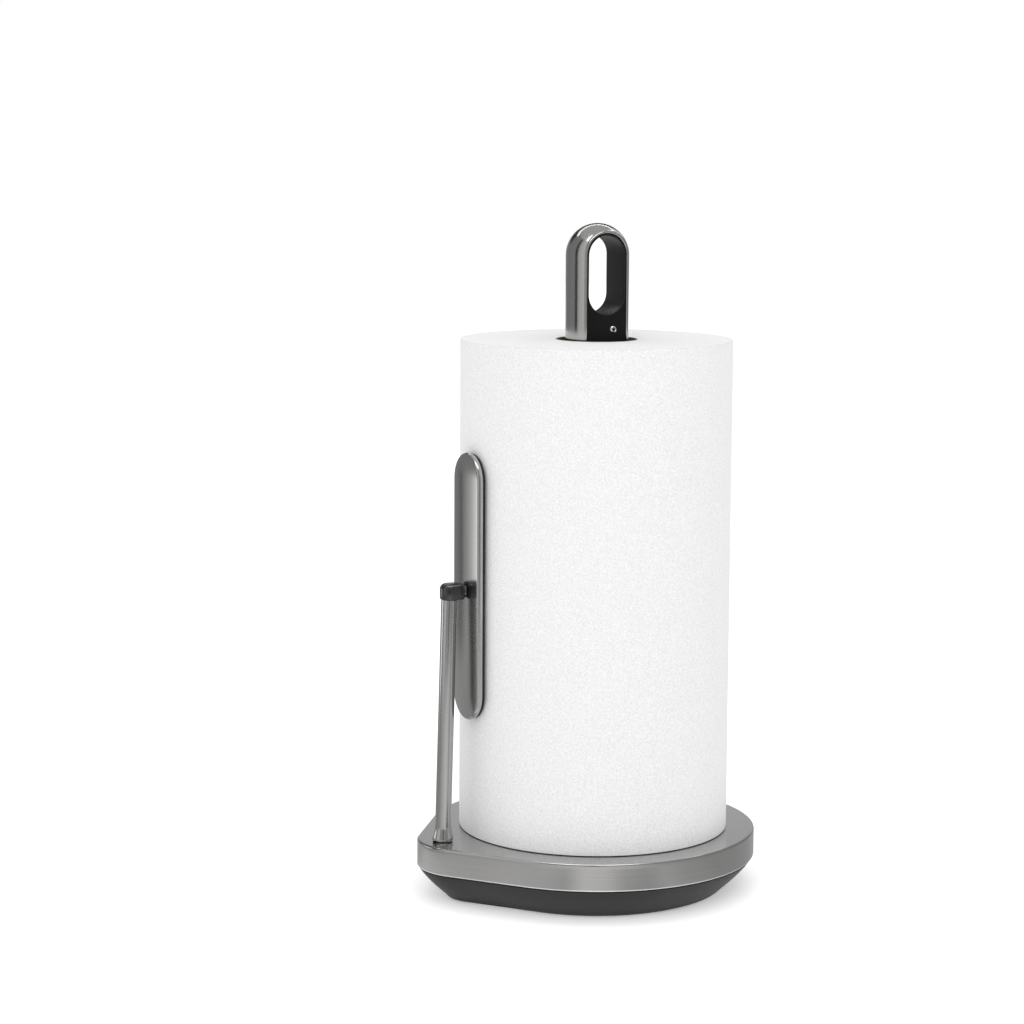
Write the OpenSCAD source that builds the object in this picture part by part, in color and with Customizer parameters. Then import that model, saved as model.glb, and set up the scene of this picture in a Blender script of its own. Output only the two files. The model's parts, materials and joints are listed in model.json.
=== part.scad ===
// Free-standing paper towel holder with a sprung arm that steadies the roll.
// +Z is up. The origin is where the column's axis meets the table.
// The arm stands at -X, and the open faces of the finger loop look along Y.

/* [Base] */
// Radius of the round part of the base
base_r = 93; // [90:0.5:100]
// Distance from the column's axis to the centre of the corner that carries the arm
corner_x = 77; // [76.5:0.5:79]
// Radius of that corner
corner_r = 31.5; // [31:0.5:33]
// Height of the plate that the roll stands on, above the table
plate_z = 35; // [34:0.5:38]
// Height of the steel rim
rim_h = 15.5; // [13:0.5:16]
// Thickness of the base's sheet steel
sheet_t = 1; // [0.8:0.1:1.2]
// How far the underside of the base is set in from its rim
foot_inset = 18; // [14:0.5:19]

/* [Column] */
// Outer radius of the column's crowned band
column_r = 17.8; // [16:0.2:19]
// Height of the column above the plate
column_h = 344.6; // [330:0.2:380]
// Thickness of the band
band_t = 1.2; // [1:0.1:1.6]
// Width of the band, front to back
band_w = 23; // [20:0.5:26]
// Height of the lowest point of the finger hole above the plate
hole_z = 294; // [290:1:305]

/* [Arm] */
// Distance from the column's axis to the arm, at the height of the plate
arm_r = 96; // [95:0.5:96]
// Outside diameter of the arm's tube
tube_d = 9; // [8:0.5:10]
// Height of the tube's top above the plate
tube_top = 137.6; // [130:0.2:146]
// Lean of the arm towards the roll, in degrees
arm_lean = 1.6; // [0.5:0.1:2]
// Width of the paddle
paddle_w = 31; // [26:1:36]
// Height of the paddle
paddle_h = 150.5; // [130:0.5:160]

/* [Roll] */
// Outside radius of the paper roll
roll_r = 77.1; // [60:0.1:77.2]
// Height of the paper roll
roll_h = 279.4; // [270:0.1:280]
// Inside radius of the cardboard core
core_r = 22; // [21:0.5:24]

/* [Hidden] */

$fn = 64;
eps = 0.01;
// Gap between pieces that move past each other, and the radial gap of a running fit
gap = 0.3;
running = 0.05;
// Radial clearance of a screw or bolt in its hole
screw_clear = 0.2;

// Base
pad_t = 2;
pad_recess = 1.2;
floor_t = 2.5;
wall_t = 2.4;
rim_z = plate_z - rim_h;
housing_z = pad_t - pad_recess;
// How far the housing is set in where it meets the rim, and how far its foot is rounded
skirt_inset = 0.8;
foot_round = 2.2;
foot_z = housing_z + foot_round;
sole_inset = foot_inset + 1;
cavity_z = pad_t + floor_t;
under_plate = plate_z - sheet_t;
lip_h = 5;
lip_inset = sheet_t + gap;
pad_margin = 3;
pad_clear = 0.2;
plate_edge = 1.2;
rim_edge_z = 0.8;
rim_edge = 0.5;
sheet_bend = 0.6;
ballast_r = 62;
ballast_t = 12;
ballast_boss_r = 24;

// Screws that hold the housing to the ballast, and the column to the base
housing_screw_pcd_r = 50;
housing_screw_r = 2;
housing_screw_head_r = 3.6;
housing_screw_head_h = 1.6;
housing_screw_l = 10;
housing_screw_key_r = 1.3;
housing_screw_key_h = 0.9;
column_bolt_x = 8;
column_bolt_r = 3;
column_bolt_head_r = 5;
column_bolt_head_h = 4;
column_bolt_key_r = 2.5;
column_bolt_key_h = 2.4;
washer_t = 1.2;
washer_r = 5.8;
bolt_well_r = 6.2;
bolt_seat_z = cavity_z + 6.5;
plug_h = 30;
bolt_into_plug = 20;
plug_screw_r = 1.5;
plug_screw_z = plate_z + 20;
plug_screw_x = column_bolt_x + 4.2;
plug_screw_head_r = 2.6;
plug_screw_sink = 0.4;
plug_screw_head_h = 0.8;

// Column
band_in_r = column_r - band_t;
loop_z = plate_z + column_h - column_r;
finger_r = 11.2;
hole_low_z = plate_z + hole_z + finger_r;
plug_recess = 1.1;
core_front_d = band_w / 2 - gap;
core_rear_d = band_w / 2 - plug_recess;
core_screw_x = 4.4;
core_screw_drop = 8.6;
core_screw_z = plate_z + hole_z - core_screw_drop;
core_screw_r = 1.2;
core_screw_head_r = 2.1;
core_screw_head_h = 1.3;
core_screw_sink = 0.8;
core_screw_bite = 6.5;
core_screw_key_r = 0.9;
core_screw_key_h = 0.8;

// Arm hinge, under the plate
pivot_drop = 10;
pivot_z = plate_z - pivot_drop;
arm_x = -arm_r;
pivot_x = arm_x - pivot_drop * tan(arm_lean);
max_swing = 4;
pin_r = 2;
pin_l = 25;
clip_from_end = 1.2;
clip_y = pin_l / 2 - clip_from_end;
clip_t = 0.6;
groove_spare = 0.1;
clip_r = 3.4;
clip_mouth = 2.2;
groove_d = 0.5;
bush_r = 3.2;
bush_flange_r = 4.2;
bush_flange_t = 0.8;
ear_y = 9;
ear_t = 1.5;
ear_r = 4.5;
bracket_l = 10;
flange_end_y = 15.2;
stud_y = 13.2;
stud_r = 1.25;
stud_l = 7;
nut_r = 2.4;
nut_h = 2.2;
block_w = 9;
block_y = 2.5;
block_r = 4.6;
block_plug_l = 12;
tube_wall = 1;
tube_below_plate = 3.5;
tube_z = plate_z - tube_below_plate;
tube_short = 0.2;
tube_l = tube_top + tube_below_plate - tube_short;
collar_r = 5.8;
collar_z = 0.6;
collar_band = 1.4;
collar_h = 8.4;
collar_lip = 0.2;
slot_w = tube_d + 2 * gap;
slot_out = tube_d / 2 + pivot_drop * sin(max_swing) + gap;
slot_spare = 0.1;
slot_in = tube_d / 2 + gap + slot_spare;
spring_r = 3.3;
spring_wire_r = 0.45;
spring_turns = 2.5;
spring_y = -4.6;
spring_leg = 5;
spring_spacing = 2.4;
spring_pitch = spring_spacing * spring_wire_r;
coil_steps = 14;
// Points of the spring's wire: a leg under the plate, the coils round the pin,
// and a leg along the pivot block
coil_points = [
    for (i = [0 : spring_turns * coil_steps])
        let (a = 90 + 360 * i / coil_steps)
            [spring_r * cos(a), -spring_pitch * i / coil_steps, spring_r * sin(a)]
];
spring_path = concat(
    [[spring_leg, 0, spring_r]],
    coil_points,
    [[-spring_leg, -spring_pitch * spring_turns, -spring_r]]
);

// Arm head and paddle
head_w = 10.6;
head_h = 9;
head_z = plate_z + tube_top;
head_plug_l = 12;
tube_top_x = arm_x + tube_top * tan(arm_lean);
head_gap = 0.7;
head_top_round = 2.6;
head_low_round = 1;
head_nose_r = 3.2;
paddle_in = roll_r + gap;
pad_face_t = 1.6;
backing_t = 1.1;
shell_edge_t = 1.9;
crown = 1.2;
paddle_out = paddle_in + pad_face_t + backing_t + shell_edge_t + crown;
paddle_wall = 0.8;
bulge_r = (pow(paddle_w / 2, 2) + pow(crown, 2)) / (2 * crown);
layer_step = 0.3;
paddle_mid = 143.7;
paddle_z = plate_z + paddle_mid;
tilt_out = 3.6;
tilt_up = 4.4;
tilt_r = paddle_out + tilt_out;
tilt_z = head_z + tilt_up;
lug_w = 4;
lug_r = 2.6;
lug_foot_h = 16;
lug_foot_w = 7;
lug_foot_t = 0.8;
lug_foot_clear = 0.2;
lug_foot_x = -paddle_out + paddle_wall + lug_foot_clear;
tilt_pin_r = 1.25;
head_slot_clear = 0.4;
head_slot_w = lug_w + 2 * head_slot_clear;
head_slot_top = 3.1;
lug_screw_z = 5.5;
lug_screw_r = 1;
lug_screw_l = 1.8;
lug_boss_w = 9;
lug_boss_h = 18;
lug_boss_t = 1.2;

// Roll
core_t = 1.1;
roll_z = plate_z + gap;
core_out_r = core_r + core_t;

// Outline of the base, set in from its rim by d
module base_outline(d = 0) {
    hull() {
        circle(base_r - d, $fn = 120);
        translate([-corner_x, 0]) circle(corner_r - d, $fn = 72);
    }
}

// Body between two outlines of the base, with its sides straight from one to the other
module base_taper(z0, d0, z1, d1) {
    hull() {
        translate([0, 0, z0]) cylinder(h = z1 - z0, r1 = base_r - d0, r2 = base_r - d1, $fn = 120);
        translate([-corner_x, 0, z0])
            cylinder(h = z1 - z0, r1 = corner_r - d0, r2 = corner_r - d1, $fn = 72);
    }
}

// Two copies, mirrored across the plane y = 0
module both_y() {
    for (side = [0, 1]) mirror([0, side, 0]) children();
}

// Two copies, mirrored across the plane x = 0
module both_x() {
    for (side = [0, 1]) mirror([side, 0, 0]) children();
}

// Four copies round the column's axis, clear of the column's bolts
module at_housing_screws() {
    for (a = [45 : 90 : 315]) rotate(a) translate([housing_screw_pcd_r, 0, 0]) children();
}

// Round bar along Y
module bar_y(r, l) {
    rotate([90, 0, 0]) cylinder(h = l, r = r, center = true);
}

// Stands its children at the foot of the leaning arm, at plate height
module along_arm() {
    translate([arm_x, 0, plate_z]) rotate([0, arm_lean, 0]) children();
}

// Upright stadium, wide along Y and tall along Z, that runs from x = x0 to x = x1
module stadium(w, h, x0, x1) {
    translate([x0, 0, 0]) rotate([90, 0, 90]) linear_extrude(x1 - x0) {
        square([w, h - w], center = true);
        for (s = [-1, 1]) translate([0, s * (h - w) / 2]) circle(d = w, $fn = 96);
    }
}

module non_slip_pad() {
    color("dimgray") linear_extrude(pad_t) base_outline(foot_inset + pad_margin + pad_clear);
}

module base_housing() {
    color([0.23, 0.23, 0.24]) difference() {
        union() {
            base_taper(housing_z, sole_inset, foot_z, sole_inset - foot_round);
            base_taper(foot_z, sole_inset - foot_round, rim_z, skirt_inset);
            base_taper(rim_z, lip_inset, rim_z + lip_h, lip_inset);
        }
        translate([0, 0, housing_z - eps])
            linear_extrude(pad_recess + eps) base_outline(foot_inset + pad_margin);
        base_taper(cavity_z, sole_inset, rim_z, skirt_inset + wall_t);
        base_taper(rim_z - eps, skirt_inset + wall_t, rim_z + lip_h + eps, lip_inset + wall_t);
        at_housing_screws() translate([0, 0, pad_t - eps]) {
            cylinder(h = floor_t + 2 * eps, r = housing_screw_r + screw_clear);
            cylinder(h = housing_screw_head_h + eps, r = housing_screw_head_r + screw_clear);
        }
    }
}

module housing_screws() {
    color("silver") at_housing_screws() translate([0, 0, pad_t]) {
        cylinder(h = housing_screw_l, r = housing_screw_r);
        difference() {
            cylinder(h = housing_screw_head_h, r = housing_screw_head_r);
            translate([0, 0, -eps]) cylinder(h = housing_screw_key_h, r = housing_screw_key_r, $fn = 6);
        }
    }
}

module ballast_weight() {
    color("dimgray") difference() {
        union() {
            translate([0, 0, cavity_z]) cylinder(h = ballast_t, r = ballast_r, $fn = 96);
            translate([0, 0, cavity_z])
                cylinder(h = under_plate - cavity_z, r = ballast_boss_r, $fn = 96);
        }
        at_housing_screws() cylinder(h = pad_t + housing_screw_l + 1, r = housing_screw_r);
        both_x() translate([column_bolt_x, 0, 0]) {
            cylinder(h = bolt_seat_z, r = bolt_well_r);
            cylinder(h = plate_z, r = column_bolt_r + screw_clear);
        }
    }
}

module base_shell() {
    color("silver") difference() {
        union() {
            base_taper(rim_z, rim_edge, rim_z + rim_edge_z, 0);
            base_taper(rim_z + rim_edge_z, 0, plate_z - plate_edge, 0);
            base_taper(plate_z - plate_edge, 0, plate_z, plate_edge);
        }
        base_taper(rim_z - eps, sheet_t, under_plate - sheet_bend, sheet_t);
        base_taper(under_plate - sheet_bend - eps, sheet_t, under_plate, sheet_t + sheet_bend);
        both_x() translate([column_bolt_x, 0, 0])
            cylinder(h = plate_z + 1, r = column_bolt_r + screw_clear);
        arm_slot();
    }
}

// Opening in the plate that lets the arm swing outwards
module arm_slot() {
    translate([arm_x, 0, under_plate - 1]) linear_extrude(sheet_t + 2) {
        translate([slot_in - slot_w / 2, 0]) circle(d = slot_w);
        translate([slot_w / 2 - slot_out, 0]) circle(d = slot_w);
        translate([slot_w / 2 - slot_out, -slot_w / 2]) square([slot_in + slot_out - slot_w, slot_w]);
    }
}

module column_bolts() {
    color("silver") both_x() translate([column_bolt_x, 0, bolt_seat_z - washer_t]) {
        cylinder(h = plate_z + bolt_into_plug - bolt_seat_z + washer_t, r = column_bolt_r);
        translate([0, 0, -column_bolt_head_h]) difference() {
            cylinder(h = column_bolt_head_h, r = column_bolt_head_r);
            translate([0, 0, -eps]) cylinder(h = column_bolt_key_h, r = column_bolt_key_r, $fn = 6);
        }
    }
}

module column_washers() {
    color("silver") both_x() translate([column_bolt_x, 0, bolt_seat_z - washer_t]) difference() {
        cylinder(h = washer_t, r = washer_r);
        translate([0, 0, -eps]) cylinder(h = washer_t + 2 * eps, r = column_bolt_r);
    }
}

// Section of the space inside the band
module band_inside(w) {
    intersection() {
        circle(band_in_r, $fn = 96);
        square([2 * column_r, w], center = true);
    }
}

module column_plug() {
    color("lightgray") difference() {
        translate([0, 0, plate_z]) linear_extrude(plug_h) band_inside(band_w - 2 * plug_recess);
        both_x() {
            translate([column_bolt_x, 0, plate_z - eps])
                cylinder(h = bolt_into_plug + 2, r = column_bolt_r);
            translate([plug_screw_x - screw_clear, 0, plug_screw_z])
                rotate([0, 90, 0]) cylinder(h = column_r, r = plug_screw_r);
        }
    }
}

module plug_screws() {
    color("silver") both_x() translate([plug_screw_x, 0, plug_screw_z]) rotate([0, 90, 0]) {
        cylinder(h = column_r - plug_screw_x, r = plug_screw_r);
        translate([0, 0, column_r - plug_screw_x - plug_screw_sink])
            cylinder(h = plug_screw_head_h, r = plug_screw_head_r);
    }
}

// Crowned section of the band on the +X side, with its crown outwards
module band_section() {
    intersection() {
        difference() {
            circle(column_r, $fn = 96);
            circle(band_in_r, $fn = 96);
        }
        translate([0, -band_w / 2]) square([column_r, band_w]);
    }
}

module column_band() {
    color("silver") difference() {
        union() {
            both_x() translate([0, 0, plate_z]) linear_extrude(loop_z - plate_z) band_section();
            translate([0, 0, loop_z]) rotate([90, 0, 0])
                rotate_extrude(angle = 180, $fn = 96) band_section();
        }
        both_x() translate([plug_screw_x, 0, plug_screw_z]) rotate([0, 90, 0]) {
            cylinder(h = column_r, r = plug_screw_r);
            translate([0, 0, column_r - plug_screw_x - plug_screw_sink])
                cylinder(h = 1, r = plug_screw_head_r);
        }
    }
}

// Solid that fills the loop from front to back, above the plug
module loop_fill(w) {
    translate([0, 0, plate_z + plug_h]) linear_extrude(loop_z - plate_z - plug_h) band_inside(w);
    translate([0, 0, loop_z]) rotate([90, 0, 0]) rotate_extrude(angle = 180, $fn = 96) intersection() {
        band_inside(w);
        translate([0, -w / 2]) square([column_r, w]);
    }
}

// Opening for the fingers, right through the column from front to back
module finger_hole() {
    rotate([90, 0, 0]) linear_extrude(2 * band_w, center = true) {
        translate([0, hole_low_z]) circle(finger_r, $fn = 96);
        translate([0, loop_z]) circle(finger_r, $fn = 96);
        translate([-finger_r, hole_low_z]) square([2 * finger_r, loop_z - hole_low_z]);
    }
}

// The liner's part on the side where y is negative, from y = -depth to the seam at y = 0
module core_half(depth) {
    difference() {
        intersection() {
            loop_fill(2 * depth);
            translate([-column_r, -band_w, plate_z]) cube([2 * column_r, band_w, column_h]);
        }
        finger_hole();
    }
}

// Stands its children on the screw's axis, with +Z towards the front
module at_core_screw() {
    translate([core_screw_x, 0, core_screw_z]) rotate([90, 0, 0]) children();
}

module core_front() {
    color([0.1, 0.1, 0.1]) difference() {
        core_half(core_front_d);
        at_core_screw() {
            cylinder(h = band_w, r = core_screw_r + screw_clear, center = true);
            translate([0, 0, core_front_d - core_screw_sink]) cylinder(h = 2, r = core_screw_head_r);
        }
    }
}

module core_rear() {
    color([0.12, 0.12, 0.12]) difference() {
        mirror([0, 1, 0]) core_half(core_rear_d);
        at_core_screw() translate([0, 0, -core_screw_bite]) cylinder(h = band_w, r = core_screw_r);
    }
}

module core_screw() {
    color("silver") at_core_screw() {
        translate([0, 0, -core_screw_bite]) cylinder(h = core_front_d + core_screw_bite, r = core_screw_r);
        translate([0, 0, core_front_d - core_screw_sink]) difference() {
            cylinder(h = core_screw_head_h, r = core_screw_head_r);
            translate([0, 0, core_screw_head_h - core_screw_key_h])
                cylinder(h = 1, r = core_screw_key_r, $fn = 6);
        }
    }
}

module weld_studs() {
    color("silver") both_y() translate([pivot_x, stud_y, under_plate - stud_l])
        cylinder(h = stud_l, r = stud_r);
}

// Pair of brackets: each has a flange under the plate and an ear down from it
module arm_brackets() {
    color("gray") both_y() difference() {
        translate([pivot_x - bracket_l / 2, 0, 0]) {
            translate([0, ear_y, under_plate - ear_t]) cube([bracket_l, flange_end_y - ear_y, ear_t]);
            translate([0, ear_y, pivot_z]) cube([bracket_l, ear_t, under_plate - pivot_z]);
            translate([bracket_l / 2, ear_y, pivot_z])
                rotate([-90, 0, 0]) cylinder(h = ear_t, r = ear_r);
        }
        translate([pivot_x, ear_y, pivot_z]) bar_y(bush_r, 4 * ear_t);
        translate([pivot_x, stud_y, under_plate - 2 * ear_t])
            cylinder(h = 3 * ear_t, r = stud_r + screw_clear);
    }
}

module bracket_nuts() {
    color("silver") both_y() translate([pivot_x, stud_y, under_plate - ear_t - nut_h]) difference() {
        cylinder(h = nut_h, r = nut_r, $fn = 6);
        translate([0, 0, -eps]) cylinder(h = nut_h + 2 * eps, r = stud_r);
    }
}

module hinge_bushes() {
    color("ivory") both_y() translate([pivot_x, 0, pivot_z]) rotate([-90, 0, 0]) difference() {
        translate([0, 0, ear_y - bush_flange_t]) {
            cylinder(h = bush_flange_t + ear_t, r = bush_r);
            cylinder(h = bush_flange_t, r = bush_flange_r);
        }
        cylinder(h = 2 * ear_y, r = pin_r + running);
    }
}

module hinge_pin() {
    color("silver") translate([pivot_x, 0, pivot_z]) difference() {
        bar_y(pin_r, pin_l);
        both_y() translate([0, clip_y, 0]) clip_groove();
    }
}

// Groove for a retaining clip
module clip_groove() {
    rotate([90, 0, 0]) difference() {
        cylinder(h = clip_t + groove_spare, r = pin_r + 1, center = true);
        cylinder(h = 2 * clip_t, r = pin_r - groove_d, center = true);
    }
}

module hinge_clips() {
    color("gray") translate([pivot_x, 0, pivot_z]) both_y() translate([0, clip_y, 0])
        rotate([90, 0, 0]) difference() {
            cylinder(h = clip_t, r = clip_r, center = true);
            cylinder(h = 2 * clip_t, r = pin_r - groove_d, center = true);
            translate([-clip_mouth / 2, -2 * clip_r, -clip_t]) cube([clip_mouth, 2 * clip_r, 2 * clip_t]);
        }
}

module torsion_spring() {
    color("silver") translate([pivot_x, spring_y, pivot_z]) wire(spring_path, spring_wire_r, 8);
}

// Round wire along a list of points
module wire(path, r, sides) {
    last = len(path) - 1;
    rings = [
        for (i = [0 : last])
            let (
                d = path[min(i + 1, last)] - path[max(i - 1, 0)],
                t = d / norm(d),
                n = cross(t, [0, 1, 0]) / norm(cross(t, [0, 1, 0])),
                b = cross(t, n)
            )
                for (k = [0 : sides - 1])
                    path[i] + r * (cos(360 * k / sides) * n + sin(360 * k / sides) * b)
    ];
    walls = [
        for (i = [0 : last - 1], k = [0 : sides - 1])
            let (j = (k + 1) % sides, low = i * sides, high = (i + 1) * sides)
                [low + k, low + j, high + j, high + k]
    ];
    caps = [
        [for (k = [sides - 1 : -1 : 0]) k],
        [for (k = [0 : sides - 1]) last * sides + k]
    ];
    polyhedron(points = rings, faces = concat(walls, caps), convexity = 8);
}

module pivot_block() {
    color("gray") difference() {
        union() {
            translate([pivot_x, block_y, pivot_z]) bar_y(block_r, block_w);
            along_arm() translate([0, 0, -pivot_drop])
                cylinder(h = pivot_drop + block_plug_l, r = tube_d / 2 - tube_wall);
        }
        translate([pivot_x, 0, pivot_z]) bar_y(pin_r, 4 * block_w);
    }
}

module arm_tube() {
    color("silver") along_arm() translate([0, 0, tube_z - plate_z]) difference() {
        cylinder(h = tube_l, d = tube_d);
        translate([0, 0, -eps]) cylinder(h = tube_l + 2 * eps, r = tube_d / 2 - tube_wall);
    }
}

module arm_collar() {
    color("silver") along_arm() rotate_extrude() polygon([
        [tube_d / 2, collar_z], [collar_r, collar_z], [collar_r, collar_z + collar_band],
        [tube_d / 2 + collar_lip, collar_z + collar_h], [tube_d / 2, collar_z + collar_h]
    ]);
}

module arm_head() {
    color([0.1, 0.1, 0.1]) difference() {
        union() {
            hull() {
                translate([tube_top_x, 0, 0]) head_end(head_w / 2);
                both_y() translate([-paddle_out - head_gap - head_nose_r, head_w / 2 - head_nose_r, 0])
                    head_end(head_nose_r);
            }
            along_arm() translate([0, 0, tube_top - head_plug_l])
                cylinder(h = head_plug_l + 2, r = tube_d / 2 - tube_wall);
        }
        translate([-tilt_r, 0, tilt_z]) {
            bar_y(tilt_pin_r, 2 * head_w);
            translate([-lug_r - gap, -head_slot_w / 2, -head_h])
                cube([2 * head_w, head_slot_w, head_h + head_slot_top]);
        }
    }
}

// One round corner of the head, of radius r, with rounded edges above and below
module head_end(r) {
    translate([0, 0, head_z]) rotate_extrude($fn = 32) {
        square([r - head_low_round, head_h / 2]);
        translate([0, head_low_round]) square([r, head_h - head_low_round - head_top_round]);
        translate([0, head_h / 2]) square([r - head_top_round, head_h / 2]);
        translate([r - head_low_round, head_low_round]) circle(head_low_round, $fn = 16);
        translate([r - head_top_round, head_h - head_top_round]) circle(head_top_round, $fn = 16);
    }
}

module paddle_pin() {
    color("silver") translate([-tilt_r, 0, tilt_z]) bar_y(tilt_pin_r, head_w - 1);
}

// Tongue that turns on the paddle's pin, and the foot that holds it behind the steel shell
module paddle_lug() {
    color("gray") difference() {
        union() {
            translate([-tilt_r, 0, tilt_z]) bar_y(lug_r, lug_w);
            translate([-tilt_r, -lug_w / 2, tilt_z - lug_r])
                cube([tilt_r - paddle_out + crown, lug_w, 2 * lug_r]);
            translate([lug_foot_x, -lug_foot_w / 2, tilt_z - lug_foot_h / 2])
                cube([lug_foot_t, lug_foot_w, lug_foot_h]);
        }
        translate([-tilt_r, 0, tilt_z]) bar_y(tilt_pin_r + running, 2 * lug_w);
        for (s = [-1, 1]) translate([lug_foot_x, 0, tilt_z + s * lug_screw_z])
            rotate([0, 90, 0]) cylinder(h = 4 * lug_foot_t, r = lug_screw_r + running, center = true);
    }
}

module lug_screws() {
    color("silver") for (s = [-1, 1]) translate([0, 0, tilt_z + s * lug_screw_z]) rotate([0, 90, 0]) {
        translate([0, 0, lug_foot_x]) cylinder(h = lug_screw_l, r = lug_screw_r);
    }
}

// Crowned body of the paddle, between its flat back and a cylinder that bulges outwards
module crowned(w, h, back, top) {
    intersection() {
        stadium(w, h, -top - 1, -back);
        translate([bulge_r - top, 0, -h]) cylinder(h = 2 * h, r = bulge_r, $fn = 180);
    }
}

module paddle_shell() {
    back = paddle_in + pad_face_t + backing_t;
    color("silver") translate([0, 0, paddle_z]) difference() {
        crowned(paddle_w, paddle_h, back, paddle_out);
        crowned(paddle_w - 2 * paddle_wall, paddle_h - 2 * paddle_wall, back - eps,
            paddle_out - paddle_wall);
        translate([-paddle_out - 1, -lug_w / 2 - running, tilt_z - paddle_z - lug_r - running])
            cube([paddle_wall + 2, lug_w + 2 * running, 2 * (lug_r + running)]);
    }
}

module paddle_backing() {
    back = paddle_in + pad_face_t;
    color("gray") difference() {
        translate([0, 0, paddle_z]) union() {
            stadium(paddle_w - 2 * layer_step, paddle_h - 2 * layer_step, -back - backing_t, -back);
            translate([-back - backing_t - lug_boss_t, -lug_boss_w / 2, tilt_z - paddle_z - lug_boss_h / 2])
                cube([lug_boss_t + eps, lug_boss_w, lug_boss_h]);
        }
        for (s = [-1, 1]) translate([lug_foot_x + lug_screw_l, 0, tilt_z + s * lug_screw_z])
            rotate([0, -90, 0]) cylinder(h = 2 * lug_screw_l, r = lug_screw_r);
    }
}

module paddle_pad() {
    color([0.1, 0.1, 0.1]) translate([0, 0, paddle_z])
        stadium(paddle_w - 4 * layer_step, paddle_h - 4 * layer_step, -paddle_in - pad_face_t, -paddle_in);
}

module cardboard_core() {
    color("tan") translate([0, 0, roll_z]) difference() {
        cylinder(h = roll_h, r = core_out_r, $fn = 96);
        translate([0, 0, -eps]) cylinder(h = roll_h + 2 * eps, r = core_r, $fn = 96);
    }
}

module paper_roll() {
    color("white") translate([0, 0, roll_z]) difference() {
        cylinder(h = roll_h, r = roll_r, $fn = 180);
        translate([0, 0, -eps]) cylinder(h = roll_h + 2 * eps, r = core_out_r + running, $fn = 96);
    }
}

non_slip_pad();
base_housing();
housing_screws();
ballast_weight();
base_shell();
column_bolts();
column_washers();
column_plug();
plug_screws();
column_band();
core_front();
core_rear();
core_screw();
weld_studs();
arm_brackets();
bracket_nuts();
hinge_bushes();
hinge_pin();
hinge_clips();
torsion_spring();
pivot_block();
arm_tube();
arm_collar();
arm_head();
paddle_pin();
paddle_lug();
lug_screws();
paddle_shell();
paddle_backing();
paddle_pad();
cardboard_core();
paper_roll();
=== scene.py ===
import json
import math

import bmesh
import bpy
from mathutils import Matrix, Vector, noise


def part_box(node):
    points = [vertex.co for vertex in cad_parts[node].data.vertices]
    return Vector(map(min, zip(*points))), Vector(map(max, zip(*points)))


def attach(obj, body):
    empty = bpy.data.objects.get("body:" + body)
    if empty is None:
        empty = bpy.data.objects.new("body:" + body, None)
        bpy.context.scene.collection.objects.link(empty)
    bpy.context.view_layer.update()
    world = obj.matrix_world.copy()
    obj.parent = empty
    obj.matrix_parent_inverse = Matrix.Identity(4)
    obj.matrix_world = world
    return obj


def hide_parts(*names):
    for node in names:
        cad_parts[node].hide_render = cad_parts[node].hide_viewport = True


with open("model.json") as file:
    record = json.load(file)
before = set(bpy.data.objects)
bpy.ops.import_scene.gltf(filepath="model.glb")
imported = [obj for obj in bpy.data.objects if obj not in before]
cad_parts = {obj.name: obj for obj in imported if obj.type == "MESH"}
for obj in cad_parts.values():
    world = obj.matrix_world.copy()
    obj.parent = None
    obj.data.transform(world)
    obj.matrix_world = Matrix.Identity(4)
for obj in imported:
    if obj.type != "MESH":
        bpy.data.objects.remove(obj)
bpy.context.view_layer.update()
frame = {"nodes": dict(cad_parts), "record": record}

MM = 0.001
TAU = 2 * math.pi


# ---------------------------------------------------------------- places from the frame

shell_low, shell_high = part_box("base_shell")
band_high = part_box("column_band")[1]
tube_low, tube_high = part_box("arm_tube")
head_low, head_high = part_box("arm_head")
face_low, face_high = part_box("paddle_shell")
backing_low, backing_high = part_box("paddle_backing")
pad_low, pad_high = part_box("paddle_pad")
paper_low, paper_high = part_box("paper_roll")
core_low, core_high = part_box("cardboard_core")
screw_low, screw_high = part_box("core_screw")
collar_low, collar_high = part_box("arm_collar")

# Sizes that the frame doesn't hold. They repeat part.scad, so a change there is needed here too.
CORNER_R = 31.5 * MM
BAND_T = 1.2 * MM
FINGER_R = 11.2 * MM
FINGER_RISE = 294 * MM
PLATE_OPENING_R = 4.8 * MM
FOOT_INSET = 18 * MM
TUBE_BELOW_PLATE = 3.5 * MM
ARM_LEAN = math.radians(1.6)
HEAD_NOSE = 3.2 * MM
PADDLE_CROWN = 1.2 * MM
BACKING_T = 1.1 * MM
CORE_INNER_R = 22 * MM

PLATE_Z = shell_high.z
RIM_Z = shell_low.z
BASE_R = shell_high.x
CORNER_X = -shell_low.x - CORNER_R
BAND_R = band_high.x
BAND_HALF = band_high.y
LOOP_Z = band_high.z - BAND_R
HOLE_LOW_Z = PLATE_Z + FINGER_RISE + FINGER_R
TUBE_R = (tube_high.y - tube_low.y) / 2
POST_X = tube_low.x + TUBE_R + TUBE_BELOW_PLATE * math.tan(ARM_LEAN)


# ---------------------------------------------------------------- materials

NOISE_LOW, NOISE_HIGH = 0.3, 0.7  # where nearly all of a noise texture's values lie


def set_inputs(node, values):
    for key, value in values.items():
        node.inputs[key].default_value = value


def add_node(tree, kind, values):
    node = tree.nodes.new(kind)
    set_inputs(node, values)
    return node


def new_material(name, color, roughness, metallic=0.0):
    mat = bpy.data.materials.new(name)
    mat.use_nodes = True
    bsdf = mat.node_tree.nodes["Principled BSDF"]
    set_inputs(bsdf, {"Base Color": (*color, 1), "Roughness": roughness, "Metallic": metallic})
    return mat, mat.node_tree, bsdf


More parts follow.
